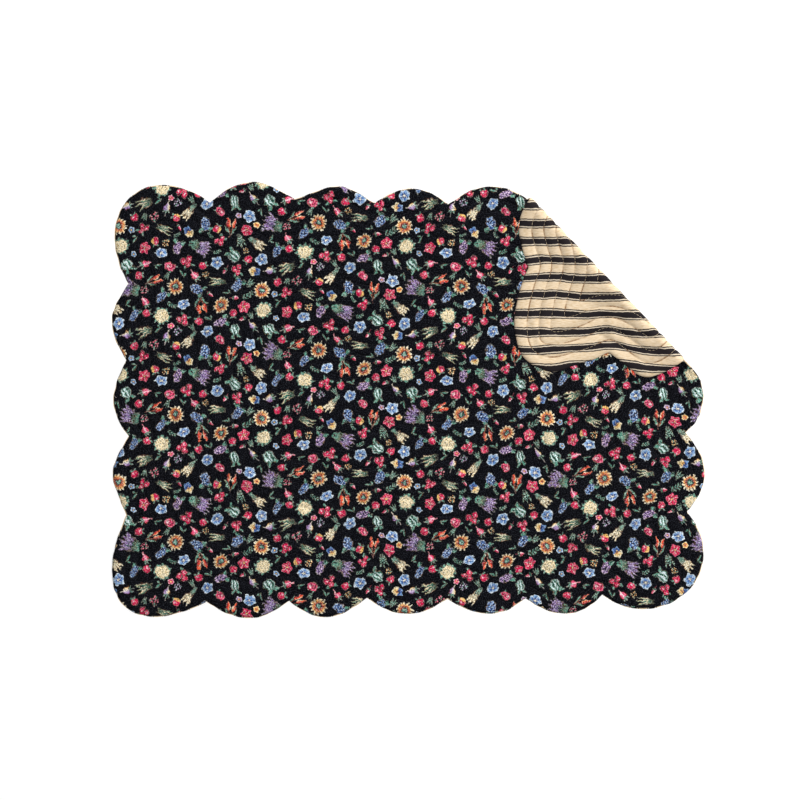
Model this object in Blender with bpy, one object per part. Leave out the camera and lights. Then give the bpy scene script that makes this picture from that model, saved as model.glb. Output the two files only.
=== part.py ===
"""A quilted placemat with scalloped edges, one corner turned over onto its face.

Two cloths are seamed round the edge and quilted together with stitch lines that echo the edge. The
front cloth faces up. The far right corner is rolled over, so that the back cloth shows there.

Each cloth is cut flat, in u (along the long side) and v (towards the far side), given the height of
its quilting, and then bent over the fold. Metres, +Z up. The mat lies on Z = 0, and the origin is on
that plane under its middle.
"""

import math
from collections import namedtuple

import bmesh
import bpy
import numpy as np
from mathutils import Vector
from mathutils.geometry import delaunay_2d_cdt

MM = 0.001

# The edge: 20 scallops, clockwise from the far left, each one curve from its notch at u, v to the next
# notch. leave and arrive are its angles off the straight line between the two, in degrees, and out and
# into are how far it keeps those directions, as shares of that line.
Scallop = namedtuple("Scallop", "u v leave out arrive into")
SCALLOPS_MM = (
    Scallop(-160.9, 161.1, 38, 0.57, 33, 0.43),
    Scallop(-92.2, 163.6, 22, 0.54, 30, 0.58),
    Scallop(-26.8, 160.5, 37, 0.52, 34, 0.44),
    Scallop(32.8, 159.9, 33, 0.41, 38, 0.46),
    Scallop(96.8, 164.0, 31, 0.50, 22, 0.46),
    Scallop(156.3, 166.8, 61, 0.66, 68, 0.91),
    Scallop(225.2, 97.1, 30, 0.36, 46, 0.66),
    Scallop(224.2, 34.2, 51, 0.44, 54, 0.40),
    Scallop(225.3, -26.1, 41, 0.46, 42, 0.49),
    Scallop(226.7, -90.3, 85, 0.70, 83, 0.59),
    Scallop(157.7, -157.9, 45, 0.49, 39, 0.38),
    Scallop(95.3, -160.9, 39, 0.47, 32, 0.41),
    Scallop(32.0, -161.5, 34, 0.47, 35, 0.44),
    Scallop(-33.6, -160.3, 37, 0.43, 43, 0.53),
    Scallop(-96.8, -162.7, 38, 0.47, 36, 0.47),
    Scallop(-163.7, -163.3, 74, 0.79, 68, 0.73),
    Scallop(-229.2, -93.2, 24, 0.54, 29, 0.56),
    Scallop(-227.4, -29.0, 36, 0.48, 29, 0.44),
    Scallop(-229.1, 32.8, 34, 0.53, 33, 0.48),
    Scallop(-227.5, 95.0, 75, 0.73, 81, 0.69),
)
FINE_STEP = 1.0 * MM
SCALLOP_STEP = 9.0 * MM

# The quilting: stitch lines that run round inside the edge, the first at FIRST_INSET and the others a
# pitch apart, with a puffed channel between each pair. Corners along a line lie closer near the edge,
# where the scallops show most.
FIRST_INSET = 10.5 * MM
QUILT_PITCH = 9.5 * MM
STITCH_LINES = 15
LINE_STEP_AT_EDGE = 11.0 * MM
LINE_STEP_AT_MIDDLE = 17.0 * MM
LINE_SMOOTHING = 9.0 * MM
ISLAND_MARGIN = 4.0 * MM
LINING_STEP = 28.0 * MM
LINING_EVERY = 3

# The two cloths, measured out from the middle of the mat: the seam at the edge, the cloth where it is
# stitched down, and the crown of a channel. side is +1 for the face and -1 for the underside.
Cloth = namedtuple("Cloth", "name side seam stitched crown colour roughness")
HALF_GAP = 0.15 * MM
FRONT = Cloth("front_cloth", 1, 0.75 * MM, 0.95 * MM, 1.75 * MM, (0.055, 0.050, 0.062), 0.85)
BACK = Cloth("back_cloth", -1, 0.75 * MM, 1.05 * MM, 1.65 * MM, (0.74, 0.60, 0.41), 0.85)

# The fold: its line is at right angles to the direction FOLD_FACING, FOLD_REACH from the origin at its
# outermost. The mat rolls over, runs down, and settles a little above its own face.
FOLD_FACING = math.radians(43.6)
FOLD_REACH = 186.0 * MM
ROLL_RADIUS = 4.1 * MM
ROLL_PAST_LEVEL = math.radians(12.0)
SETTLE_RADIUS = 40.0 * MM
LAYER_GAP = 0.8 * MM
ROLL_FACETS = 9
SETTLE_FACETS = 3
FLAP_LENGTH = 0.5
SCORE_SNAP = 0.15 * MM

# Where the turned corner lifts a little more: at its tip and behind its notch.
Lift = namedtuple("Lift", "u v height spread")
LIFTS_MM = (
    Lift(222.0, 158.0, 1.6, 26.0),
    Lift(204.0, 94.0, 1.1, 16.0),
    Lift(130.0, 166.0, 0.8, 18.0),
)


def fold_runs():
    """The fold's section as runs of (length, turn): the roll, the slope down, the settling and the flap."""
    stacked = 2 * FRONT.crown + LAYER_GAP
    top_of_slope = ROLL_RADIUS * (1 + math.cos(ROLL_PAST_LEVEL))
    settling_drop = SETTLE_RADIUS * (1 - math.cos(ROLL_PAST_LEVEL))
    slope = (top_of_slope - settling_drop - stacked) / math.sin(ROLL_PAST_LEVEL)
    roll_turn = math.pi + ROLL_PAST_LEVEL
    return (
        (ROLL_RADIUS * roll_turn, roll_turn),
        (slope, 0.0),
        (SETTLE_RADIUS * ROLL_PAST_LEVEL, -ROLL_PAST_LEVEL),
        (FLAP_LENGTH, 0.0),
    )


FOLD_RUNS = fold_runs()
FOLD_START = FOLD_REACH - ROLL_RADIUS - BACK.crown
ACROSS = np.array((math.cos(FOLD_FACING), math.sin(FOLD_FACING)))
ALONG = np.array((math.sin(FOLD_FACING), -math.cos(FOLD_FACING)))


def turned(vector, angle):
    """The flat vector turned to the left by an angle in degrees."""
    sine, cosine = math.sin(math.radians(angle)), math.cos(math.radians(angle))
    return np.array((vector[0] * cosine - vector[1] * sine, vector[1] * cosine + vector[0] * sine))


def scallop_curve(scallop, end):
    """A dense path along a scallop, from its notch to the next one, at end: a cubic Bezier curve."""
    start = np.array((scallop.u, scallop.v)) * MM
    chord = end - start
    first = start + scallop.out * turned(chord, scallop.leave)
    last = end - scallop.into * turned(chord, -scallop.arrive)
    t = np.linspace(0, 1, 160)[:, None]
    return (1 - t) ** 3 * start + 3 * (1 - t) ** 2 * t * first + 3 * (1 - t) * t**2 * last + t**3 * end


def spread(path, step):
    """Evenly spaced points about step apart along the path, up to but not at its end."""
    travelled = np.concatenate([[0], np.cumsum(np.linalg.norm(np.diff(path, axis=0), axis=1))])
    count = max(2, round(travelled[-1] / step))
    at = np.linspace(0, travelled[-1], count, endpoint=False)
    return np.stack([np.interp(at, travelled, path[:, k]) for k in (0, 1)], axis=1)


def edge_points(step):
    """The scalloped edge as a closed loop, and the indices of its notches."""
    scallops, notches = [], [0]
    for here, there in zip(SCALLOPS_MM, SCALLOPS_MM[1:] + SCALLOPS_MM[:1]):
        scallops.append(spread(scallop_curve(here, np.array((there.u, there.v)) * MM), step))
        notches.append(notches[-1] + len(scallops[-1]))
    return np.vstack(scallops), notches[:-1]


def inward_rays(edge, notches):
    """A start and a direction into the mat for each edge point, with a fan of directions at each notch."""
    before = edge - np.roll(edge, 1, axis=0)
    after = np.roll(edge, -1, axis=0) - edge
    starts, directions = [], []
    for i, point in enumerate(edge):
        facing = [math.atan2(-d[0], d[1]) for d in (before[i], after[i])]
        turn = (facing[1] - facing[0] + math.pi) % (2 * math.pi) - math.pi
        shares = np.linspace(0, 1, 25) if i in notches else (0.5,)
        for share in shares:
            angle = facing[0] + turn * share
            starts.append(point)
            directions.append((math.cos(angle), math.sin(angle)))
    return np.array(starts), np.array(directions)


def closed(loop):
    """The loop with its first point again at the end."""
    return np.vstack([loop, loop[:1]])


def stitch_inset(number):
    """How far inside the edge a stitch line runs, counted from 1."""
    return FIRST_INSET + (number - 1) * QUILT_PITCH


def echo_line(inset, step):
    """The line that runs round the mat this far inside its edge, with its sharp turns rounded."""
    edge, notches = edge_points(FINE_STEP)
    starts, directions = inward_rays(edge, notches)
    line = starts + directions * inset
    nearest = np.array([np.min(np.hypot(*(edge - p).T)) for p in line])
    line = spread(closed(line[nearest > inset - FINE_STEP / 4]), FINE_STEP)
    reach = round(LINE_SMOOTHING / FINE_STEP / 2)
    shifts = range(-reach, reach + 1)
    return spread(closed(sum(np.roll(line, s, axis=0) for s in shifts) / len(shifts)), step)


def line_step(inset):
    """How far apart the corners on a line are: closer near the edge."""
    share = inset / stitch_inset(STITCH_LINES)
    return LINE_STEP_AT_EDGE + (LINE_STEP_AT_MIDDLE - LINE_STEP_AT_EDGE) * share


def quilt_lines():
    """The edge, the stitch lines and the crowns between them, each a loop and its name in Cloth."""
    lines = [(edge_points(SCALLOP_STEP)[0], "seam")]
    for number in range(1, STITCH_LINES + 1):
        stitched_at = stitch_inset(number)
        crown_at = stitched_at - QUILT_PITCH / 2
        lines.append((echo_line(crown_at, line_step(crown_at)), "crown"))
        lines.append((echo_line(stitched_at, line_step(stitched_at)), "stitched"))
    island_at = stitch_inset(STITCH_LINES) + ISLAND_MARGIN
    lines.append((echo_line(island_at, LINE_STEP_AT_MIDDLE), "crown"))
    return lines


def lining_lines():
    """The edge and the lines of a cloth's inner face, which is level, each a loop and its height."""
    lines = [(edge_points(SCALLOP_STEP)[0], HALF_GAP)]
    for number in range(LINING_EVERY, STITCH_LINES, LINING_EVERY):
        lines.append((echo_line(stitch_inset(number), LINING_STEP), HALF_GAP))
    return lines


def add_layer(shell, lines, side):
    """Triangulates the lines into the shell as one flat layer, and returns its vertices on the edge."""
    flat, heights, seams = [], [], []
    for loop, height in lines:
        first = len(flat)
        flat += [Vector(p) for p in loop]
        heights += [height * side] * len(loop)
        seams += [(first + i, first + (i + 1) % len(loop)) for i in range(len(loop))]
    inside_only = 1
    points, _, faces, origins, _, _ = delaunay_2d_cdt(flat, seams, [], inside_only, 1e-7)
    made = [
        shell.verts.new((p.x, p.y, heights[came_from[0]])) for p, came_from in zip(points, origins)
    ]
    for face in faces:
        shell.faces.new([made[i] for i in face])
    place = {came_from[0]: vert for vert, came_from in zip(made, origins)}
    return [place[i] for i in range(len(lines[0][0]))]


def score(shell):
    """Cuts the shell along lines parallel to the fold, so that it can bend there."""
    ends = np.cumsum([0.0] + [length for length, _ in FOLD_RUNS[:3]])
    roll = np.linspace(ends[0], ends[1], ROLL_FACETS + 1)
    settle = np.linspace(ends[2], ends[3], SETTLE_FACETS + 1)
    for past in np.concatenate([roll, settle]):
        bmesh.ops.bisect_plane(
            shell,
            geom=shell.verts[:] + shell.edges[:] + shell.faces[:],
            dist=SCORE_SNAP,
            plane_co=(*(ACROSS * (FOLD_START + past)), 0.0),
            plane_no=(*ACROSS, 0.0),
        )


def section(past):
    """Where the middle of the mat lies past the start of the roll: across, up, and its heading."""
    if past <= 0:
        return past, 0.0, 0.0
    across, up, heading = 0.0, 0.0, 0.0
    for length, turn in FOLD_RUNS:
        gone = min(past, length)
        turned = turn * gone / length
        if turned:
            radius = gone / turned
            across += radius * (math.sin(heading + turned) - math.sin(heading))
            up += radius * (math.cos(heading) - math.cos(heading + turned))
        else:
            across += gone * math.cos(heading)
            up += gone * math.sin(heading)
        heading += turned
        past -= gone
    return across, up, heading


def lift_at(flat, past):
    """How much further the turned corner stands off the mat at a point of the flat cloth."""
    settled = sum(length for length, _ in FOLD_RUNS[:3])
    share = min(1.0, max(0.0, past / settled - 1.0))
    lifted = 0.0
    for lift in LIFTS_MM:
        away = math.dist(flat / MM, (lift.u, lift.v)) / lift.spread
        lifted += lift.height * MM * math.exp(-(away**2) / 2)
    return lifted * share * share * (3 - 2 * share)


def bent(point):
    """A point of the flat cloth, with its height off the middle layer, where it lies on the folded mat."""
    flat = np.array(point[:2])
    past = flat @ ACROSS - FOLD_START
    across, up, heading = section(past)
    across += FOLD_START - point[2] * math.sin(heading)
    up += BACK.crown + point[2] * math.cos(heading) + lift_at(flat, past)
    place = ALONG * (flat @ ALONG) + ACROSS * across
    return Vector((place[0], place[1], up))


def quilted_cloth(cloth, quilting, lining):
    """One cloth of the mat as a closed shell: its quilted face, its level inner face and its rim."""
    shell = bmesh.new()
    outer = add_layer(shell, [(loop, getattr(cloth, name)) for loop, name in quilting], cloth.side)
    inner = add_layer(shell, lining, cloth.side)
    for i, corner in enumerate(outer):
        beside = (i + 1) % len(outer)
        shell.faces.new((corner, outer[beside], inner[beside], inner[i]))
    bmesh.ops.recalc_face_normals(shell, faces=shell.faces[:])
    score(shell)
    bmesh.ops.triangulate(shell, faces=shell.faces[:])
    for vert in shell.verts:
        vert.co = bent(vert.co)
    return shell


def material_for(cloth):
    """A plain finish in the cloth's own colour."""
    material = bpy.data.materials.new(cloth.name)
    material.use_nodes = True
    shader = material.node_tree.nodes["Principled BSDF"]
    shader.inputs["Base Color"].default_value = (*cloth.colour, 1.0)
    shader.inputs["Roughness"].default_value = cloth.roughness
    shader.inputs["Metallic"].default_value = 0.0
    return material


def centre_of(shells):
    """The middle of the mat's box, seen from above."""
    places = [vert.co for shell in shells for vert in shell.verts]
    return Vector([(min(p[k] for p in places) + max(p[k] for p in places)) / 2 for k in (0, 1)] + [0.0])


def add_object(cloth, shell, centre):
    """Links the cloth's shell to the scene as an object, with the origin under the mat's middle."""
    for vert in shell.verts:
        vert.co -= centre
    mesh = bpy.data.meshes.new(cloth.name)
    shell.to_mesh(mesh)
    shell.free()
    mesh.materials.append(material_for(cloth))
    mesh.shade_smooth()
    mesh.set_sharp_from_angle(angle=math.radians(50))
    made = bpy.data.objects.new(cloth.name, mesh)
    bpy.context.scene.collection.objects.link(made)
    print(cloth.name, len(mesh.polygons), "triangles", [round(x / MM, 1) for x in made.dimensions])


def main():
    for old in list(bpy.data.objects):
        bpy.data.objects.remove(old)
    quilting, lining = quilt_lines(), lining_lines()
    cloths = (FRONT, BACK)
    shells = [quilted_cloth(cloth, quilting, lining) for cloth in cloths]
    centre = centre_of(shells)
    for cloth, shell in zip(cloths, shells):
        add_object(cloth, shell, centre)


main()
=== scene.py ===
# %% [markdown]
# # A quilted placemat with a scalloped edge
#
# The real mat is two panels of cotton: a dark one with a small printed pattern, and a tan one with black
# ticking stripes. They are seamed round a scalloped edge, turned right side out, and quilted with rows of
# stitches that echo the edge. One corner is turned over onto the face.
#
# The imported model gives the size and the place. This script lays a fine sheet over each of its two solids,
# gives it the puffs, puckers and creases of quilted cloth, sews it, prints it and lights it.

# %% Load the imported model
import math
from collections import namedtuple
from functools import reduce

import bpy
import numpy as np
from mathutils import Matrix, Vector, noise
from mathutils.geometry import delaunay_2d_cdt
from mathutils.kdtree import KDTree


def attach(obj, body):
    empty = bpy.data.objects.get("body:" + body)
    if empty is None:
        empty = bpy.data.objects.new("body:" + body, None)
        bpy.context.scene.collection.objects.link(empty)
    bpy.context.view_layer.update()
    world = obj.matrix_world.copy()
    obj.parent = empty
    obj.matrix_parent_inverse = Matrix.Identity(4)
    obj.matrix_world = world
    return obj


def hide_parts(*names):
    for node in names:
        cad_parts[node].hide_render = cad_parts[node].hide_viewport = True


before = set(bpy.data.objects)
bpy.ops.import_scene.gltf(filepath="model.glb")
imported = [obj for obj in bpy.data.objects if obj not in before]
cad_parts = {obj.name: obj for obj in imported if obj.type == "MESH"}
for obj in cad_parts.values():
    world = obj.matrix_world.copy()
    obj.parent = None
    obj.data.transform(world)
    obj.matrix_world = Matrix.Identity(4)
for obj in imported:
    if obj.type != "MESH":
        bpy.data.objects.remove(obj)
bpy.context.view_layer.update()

MM = 0.001

# %% [markdown]
# ## The edge
#
# The maker cuts both panels from one card pattern with twenty scallops. An imported drawing could hold
# such a shape, but a short table says more: each scallop is one cubic Bezier curve between two notches,
# and a row gives its notch and how the curve leaves it and meets the next. The corner scallops only have
# wider angles and longer handles. Lengths are in millimetres on the flat cloth: u along the long side, v
# towards the far side.

# %% The outline
Scallop = namedtuple("Scallop", "u v leave out arrive into")
SCALLOPS_MM = (
    Scallop(-160.9, 161.1, 38, 0.57, 33, 0.43),
    Scallop(-92.2, 163.6, 22, 0.54, 30, 0.58),
    Scallop(-26.8, 160.5, 37, 0.52, 34, 0.44),
    Scallop(32.8, 159.9, 33, 0.41, 38, 0.46),
    Scallop(96.8, 164.0, 31, 0.50, 22, 0.46),
    Scallop(156.3, 166.8, 61, 0.66, 68, 0.91),
    Scallop(225.2, 97.1, 30, 0.36, 46, 0.66),
    Scallop(224.2, 34.2, 51, 0.44, 54, 0.40),
    Scallop(225.3, -26.1, 41, 0.46, 42, 0.49),
    Scallop(226.7, -90.3, 85, 0.70, 83, 0.59),
    Scallop(157.7, -157.9, 45, 0.49, 39, 0.38),
    Scallop(95.3, -160.9, 39, 0.47, 32, 0.41),
    Scallop(32.0, -161.5, 34, 0.47, 35, 0.44),
    Scallop(-33.6, -160.3, 37, 0.43, 43, 0.53),
    Scallop(-96.8, -162.7, 38, 0.47, 36, 0.47),
    Scallop(-163.7, -163.3, 74, 0.79, 68, 0.73),
    Scallop(-229.2, -93.2, 24, 0.54, 29, 0.56),
    Scallop(-227.4, -29.0, 36, 0.48, 29, 0.44),
    Scallop(-229.1, 32.8, 34, 0.53, 33, 0.48),
    Scallop(-227.5, 95.0, 75, 0.73, 81, 0.69),
)


def turned(vector, angle):
    """The flat vector turned to the left by an angle in degrees."""
    sine, cosine = math.sin(math.radians(angle)), math.cos(math.radians(angle))
    return np.array((vector[0] * cosine - vector[1] * sine, vector[1] * cosine + vector[0] * sine))


def scallop_curve(scallop, end):
    """A dense path along a scallop, from its notch to the next one, at end."""
    start = np.array((scallop.u, scallop.v))
    chord = end - start
    first = start + scallop.out * turned(chord, scallop.leave)
    last = end - scallop.into * turned(chord, -scallop.arrive)
    t = np.linspace(0, 1, 160)[:, None]
    return (1 - t) ** 3 * start + 3 * (1 - t) ** 2 * t * first + 3 * (1 - t) * t**2 * last + t**3 * end


def spread(path, step):
    """Evenly spaced points about step apart along the path, up to but not at its end."""
    travelled = np.concatenate([[0], np.cumsum(np.linalg.norm(np.diff(path, axis=0), axis=1))])
    count = max(2, round(travelled[-1] / step))
    at = np.linspace(0, travelled[-1], count, endpoint=False)
    return np.stack([np.interp(at, travelled, path[:, k]) for k in (0, 1)], axis=1)


def edge_points(step):
    """The scalloped edge as a closed loop, and the indices of its notches."""
    scallops, notches = [], [0]
    for here, there in zip(SCALLOPS_MM, SCALLOPS_MM[1:] + SCALLOPS_MM[:1]):
        scallops.append(spread(scallop_curve(here, np.array((there.u, there.v))), step))
        notches.append(notches[-1] + len(scallops[-1]))
    return np.vstack(scallops), notches[:-1]


EDGE_STEP = 1.0
edge, edge_notches = edge_points(EDGE_STEP)
print("Outline:", len(SCALLOPS_MM), "scallops,", len(edge), "points")

# %% [markdown]
# ## The quilting lines
#
# A quilter sews round the mat inside the edge, then again a finger's width further in, to the middle. The
# line keeps its distance from the edge, so it copies the scallops and turns sharply at the notches, where
# a real row of stitches is rounder. Each line is made the same way here: step inwards from every edge
# point, drop what has come too near another part of the edge, and smooth what is left.

# %% Lines that echo the edge
FIRST_INSET = 10.5
QUILT_PITCH = 9.5
STITCH_LINES = 15
LINE_SMOOTHING = 9.0
NOTCH_RAYS = 25


def tree_of(points):
    """A search tree over flat points."""
    tree = KDTree(len(points))
    for i, point in enumerate(points):
        tree.insert((*point, 0.0), i)
    tree.balance()
    return tree


def inward_rays(loop, notches):
    """A start and a direction into the mat for each edge point, with a fan of directions at each notch."""
    before = loop - np.roll(loop, 1, axis=0)
    after = np.roll(loop, -1, axis=0) - loop
    starts, directions = [], []
    for i, point in enumerate(loop):
        facing = [math.atan2(-d[0], d[1]) for d in (before[i], after[i])]
        turn = (facing[1] - facing[0] + math.pi) % (2 * math.pi) - math.pi
        for share in np.linspace(0, 1, NOTCH_RAYS) if i in notches else (0.5,):
            angle = facing[0] + turn * share
            starts.append(point)
            directions.append((math.cos(angle), math.sin(angle)))
    return np.array(starts), np.array(directions)


def closed(loop):
    """The loop with its first point again at the end."""
    return np.vstack([loop, loop[:1]])


edge_tree = tree_of(edge)
ray_starts, ray_directions = inward_rays(edge, edge_notches)


def echo_line(inset, step):
    """The line that runs round the mat this far inside its edge, with its sharp turns rounded."""
    line = ray_starts + ray_directions * inset
    clear = [edge_tree.find((*point, 0.0))[2] > inset - EDGE_STEP / 4 for point in line]
    line = spread(closed(line[clear]), EDGE_STEP)
    reach = round(LINE_SMOOTHING / EDGE_STEP / 2)
    shifts = range(-reach, reach + 1)
    return spread(closed(sum(np.roll(line, s, axis=0) for s in shifts) / len(shifts)), step)


def stitch_inset(number):
    """How far inside the edge a stitch line runs, counted from 1. Number 0 is the edge itself."""
    return FIRST_INSET + (number - 1) * QUILT_PITCH if number else 0.0


STITCH_SAMPLE = 0.5
stitch_lines = [echo_line(stitch_inset(number), STITCH_SAMPLE) for number in range(1, STITCH_LINES + 1)]
print("Quilting:", STITCH_LINES, "lines,", round(sum(map(len, stitch_lines)) * STITCH_SAMPLE / 1000, 1), "m")

# %% [markdown]
# ## The flat cloth as a mesh
#
# A grid would cut across the stitching and leave its grooves jagged. So the points follow the quilting:
# rings beside each stitch line, closer together near it, joined by Delaunay triangles. The stitch lines
# are kept as edges, which makes every groove crisp.

# %% Rings and triangles
RINGS_IN_PITCH = (0.08, 0.19, 0.33, 0.5, 0.67, 0.81, 0.92)
POINT_STEP = 1.5
RIM_WIDTH = 1.2
ISLAND_STEP = 1.6


def inward_normals(loop):
    """The direction into the mat at each point of a loop that runs clockwise."""
    along = np.roll(loop, -1, axis=0) - np.roll(loop, 1, axis=0)
    return np.stack([along[:, 1], -along[:, 0]], axis=1) / np.linalg.norm(along, axis=1)[:, None]


def island_points():
    """A grid of points inside the innermost stitch line."""
    inner = stitch_lines[-1]
    near = tree_of(inner)
    low, high = inner.min(axis=0), inner.max(axis=0)
    across, up = np.meshgrid(np.arange(low[0], high[0], ISLAND_STEP), np.arange(low[1], high[1], ISLAND_STEP))
    grid = np.stack([across.ravel(), up.ravel()], axis=1)
    found = [near.find((*point, 0.0)) for point in grid]
    facing = inward_normals(inner)
    inside = [
        away > ISLAND_STEP / 2 and (point - inner[i]) @ facing[i] > 0
        for point, (_, i, away) in zip(grid, found)
    ]
    return grid[inside]


rim_loop = edge_points(POINT_STEP)[0]
rim_facing = inward_normals(rim_loop)
kept_loops = [rim_loop + rim_facing * RIM_WIDTH]
kept_loops += [spread(closed(line), POINT_STEP) for line in stitch_lines]
loose_points = [island_points()]
for number in range(STITCH_LINES):
    for share in RINGS_IN_PITCH:
        inset = stitch_inset(number) * (1 - share) + stitch_inset(number + 1) * share
        if inset > 2 * RIM_WIDTH:
            loose_points.append(echo_line(inset, POINT_STEP))


def flat_mesh():
    """The flat cloth: its points, its triangles, and the places of the outer loop's points."""
    points = np.vstack(kept_loops + loose_points)
    kept_edges, first = [], 0
    for loop in kept_loops:
        kept_edges += [(first + i, first + (i + 1) % len(loop)) for i in range(len(loop))]
        first += len(loop)
    inside_only = 1
    made, _, faces, origins, _, _ = delaunay_2d_cdt(
        [Vector(p) for p in points], kept_edges, [], inside_only, 1e-4
    )
    place = {source: i for i, sources in enumerate(origins) for source in sources}
    outer = np.array([place[i] for i in range(len(kept_loops[0]))])
    return np.array([tuple(p) for p in made]), np.array([tuple(f) for f in faces]), outer


flat, triangles, outer_loop = flat_mesh()
print("Flat cloth:", len(flat), "points,", len(triangles), "triangles")

# %% [markdown]
# ## Puffs, puckers and creases
#
# Where the cloth is sewn down it lies low, and between the lines the wadding lifts it in a soft puff. The
# thread also gathers the cloth a little, which makes small puckers that start square to the stitches and
# fade before the middle of the channel. A displacement texture could do this, but it wouldn't know where
# the stitches run. Each point's distance to the nearest stitch gives both.

# %% Height of the quilting
Cloth = namedtuple("Cloth", "name side stitched crown pucker")
FRONT = Cloth("printed_front", 1, 0.70, 1.70, 0.24)
BACK = Cloth("striped_back", -1, 0.75, 1.65, 0.26)
SEWN_AT_EDGE = 0.95
PUFF_ROUNDNESS = 2.3
PUCKER_LENGTH = 3.4
WIDE_PUCKER_LENGTH = 8.5
PUCKER_FADING = 1.4
PUCKER_START = 6.0
PLAIN_EDGE = 3.0

stitch_samples = np.vstack(stitch_lines)
stitch_tree = tree_of(stitch_samples)


def wave(places, length, seed):
    """Smooth noise between -1 and 1 at flat places, with bumps about this long."""
    return np.array([noise.noise((u / length, v / length, seed)) for u, v in places])


nearest = [stitch_tree.find((*point, 0.0)) for point in flat]
from_stitch = np.array([away for _, _, away in nearest])
stitch_place = stitch_samples[[i for _, i, _ in nearest]]
from_edge = np.array([edge_tree.find((*point, 0.0))[2] for point in flat])
half_pitch = QUILT_PITCH / 2
open_share = np.clip(np.minimum(from_stitch, from_edge) / half_pitch, 0, 1)


def quilted_height(cloth):
    """How far the cloth stands off the middle of the mat at each flat point, without its sign."""
    low = np.where(from_edge < from_stitch, SEWN_AT_EDGE, cloth.stitched)
    puff = 1 - (1 - open_share) ** PUFF_ROUNDNESS
    gathers = wave(stitch_place, PUCKER_LENGTH, cloth.side)
    gathers += wave(stitch_place, WIDE_PUCKER_LENGTH, 5 + cloth.side)
    fading = (1 - open_share) ** PUCKER_FADING * np.clip(open_share * PUCKER_START, 0, 1)
    fading *= np.clip(from_edge / PLAIN_EDGE, 0, 1)
    return low + (cloth.crown - low) * puff + cloth.pucker * gathers * fading


heights = {cloth.name: quilted_height(cloth) for cloth in (FRONT, BACK)}
for name, height in heights.items():
    print(name, "stands", np.round([height.min(), height.max()], 2), "mm off the middle")

# %% [markdown]
# ## The fold
#
# The corner rolls over a fold line that runs across it, comes down behind the roll and settles just above
# the face. Bending the mesh with a Simple Deform modifier would stretch it. Here the mat's section is a
# chain of arcs and straight runs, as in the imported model, and each flat point is carried along it. The
# cloth keeps its length, so the print and the stripes bend as real cloth does.

# %% The bend over the fold
FOLD_FACING = math.radians(43.6)
FOLD_REACH = 186.0
ROLL_RADIUS = 4.1
ROLL_PAST_LEVEL = math.radians(12.0)
SETTLE_RADIUS = 40.0
BACK_CROWN = 1.65
FRONT_CROWN = 1.75
LAYER_GAP = 0.8
FLAP_LENGTH = 500.0

across_fold = np.array((math.cos(FOLD_FACING), math.sin(FOLD_FACING)))
along_fold = np.array((math.sin(FOLD_FACING), -math.cos(FOLD_FACING)))
fold_start = FOLD_REACH - ROLL_RADIUS - BACK_CROWN


def fold_runs():
    """The section of the fold as runs of (length, turn): the roll, the slope, the settling, the flap."""
    top_of_slope = ROLL_RADIUS * (1 + math.cos(ROLL_PAST_LEVEL))
    settling_drop = SETTLE_RADIUS * (1 - math.cos(ROLL_PAST_LEVEL))
    slope = (top_of_slope - settling_drop - 2 * FRONT_CROWN - LAYER_GAP) / math.sin(ROLL_PAST_LEVEL)
    roll_turn = math.pi + ROLL_PAST_LEVEL
    return (
        (ROLL_RADIUS * roll_turn, roll_turn),
        (slope, 0.0),
        (SETTLE_RADIUS * ROLL_PAST_LEVEL, -ROLL_PAST_LEVEL),
        (FLAP_LENGTH, 0.0),
    )


def section(past):
    """Where the middle of the mat lies past the start of the roll: across, up, and its heading."""
    across, up, heading = np.minimum(past, 0.0), np.zeros(len(past)), np.zeros(len(past))
    left = np.maximum(past, 0.0)
    for length, turn in fold_runs():
        gone = np.minimum(left, length)
        turned = turn * gone / length
        half_turn = turned / 2
        chord = gone * np.sinc(half_turn / math.pi)
        across += chord * np.cos(heading + half_turn)
        up += chord * np.sin(heading + half_turn)
        heading += turned
        left -= gone
    return across, up, heading


settled_at = sum(length for length, _ in fold_runs()[:3])
settled_across = section(np.array([settled_at]))[0][0]
print("The roll and slope take", round(settled_at, 1), "mm of cloth")

# %% [markdown]
# ## Creases and pulls in the turned corner
#
# The turned corner isn't a flat triangle. It lifts at its tip, its quilting makes shallow creases, and
# the stitching pulls the stripes out of line. These are placed where they show on the real mat:
# a table of lifts, a table of creases, a table of tugs that shift the cloth in its own plane, and a table
# of pulls, where the stripes run out of true on it. At each row of stitches the stripes also kink a
# little. Places are millimetres on the table top, and unfold() finds the same spot on the flat cloth.

# %% Lifts, creases and tugs
Lift = namedtuple("Lift", "x y height spread")
LIFTS = (
    Lift(102.0, 32.0, 1.5, 17.0),
    Lift(154.0, 30.0, 1.0, 12.0),
    Lift(192.0, 26.0, 1.5, 11.0),
    Lift(90.0, 88.0, 0.7, 12.0),
)
Crease = namedtuple("Crease", "x y to_x to_y height width")
CREASES = (
    Crease(118.0, 61.0, 166.0, 75.0, 1.1, 4.0),
    Crease(161.0, 40.0, 168.0, 78.0, 1.5, 3.2),
    Crease(148.0, 57.0, 184.0, 32.0, -1.0, 2.2),
    Crease(97.0, 68.0, 105.0, 37.0, -1.0, 1.9),
    Crease(125.0, 138.0, 152.0, 108.0, 0.8, 5.0),
    Crease(172.0, 84.0, 205.0, 52.0, 0.8, 4.5),
    Crease(134.0, 100.0, 160.0, 92.0, -0.6, 2.2),
    Crease(181.0, 45.0, 214.0, 33.0, -0.8, 2.4),
    Crease(112.0, 120.0, 138.0, 117.0, 0.5, 3.0),
    Crease(106.3, 81.0, 105.8, 57.0, -0.8, 1.6),
)
Tug = namedtuple("Tug", "x y shift_x shift_y spread")
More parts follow.
